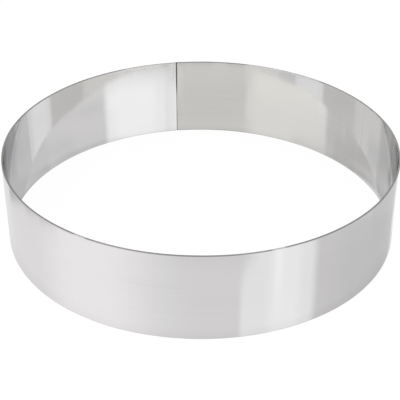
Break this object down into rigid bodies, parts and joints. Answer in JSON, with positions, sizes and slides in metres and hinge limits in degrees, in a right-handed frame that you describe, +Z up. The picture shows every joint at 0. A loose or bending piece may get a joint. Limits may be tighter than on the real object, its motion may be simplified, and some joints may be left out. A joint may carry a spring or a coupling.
{
  "type": "pastry ring",
  "caption": "Open pastry ring of polished stainless sheet, rolled into a hoop and butt-welded at one upright seam, for shaping and cutting cakes and dough.",
  "frame": {"origin": "centre of the ring, on the plane of its bottom rim", "axes": "+Z up along the ring's axis; +Y away from the usual viewer, with the seam 8.4 degrees from +Y towards -X"},
  "size_m": [0.2, 0.2, 0.045],
  "materials": {
    "steel": "bright rolled stainless sheet, softly polished"
  },
  "bodies": {
    "root": {"ring": "steel"}
  },
  "joints": []
}
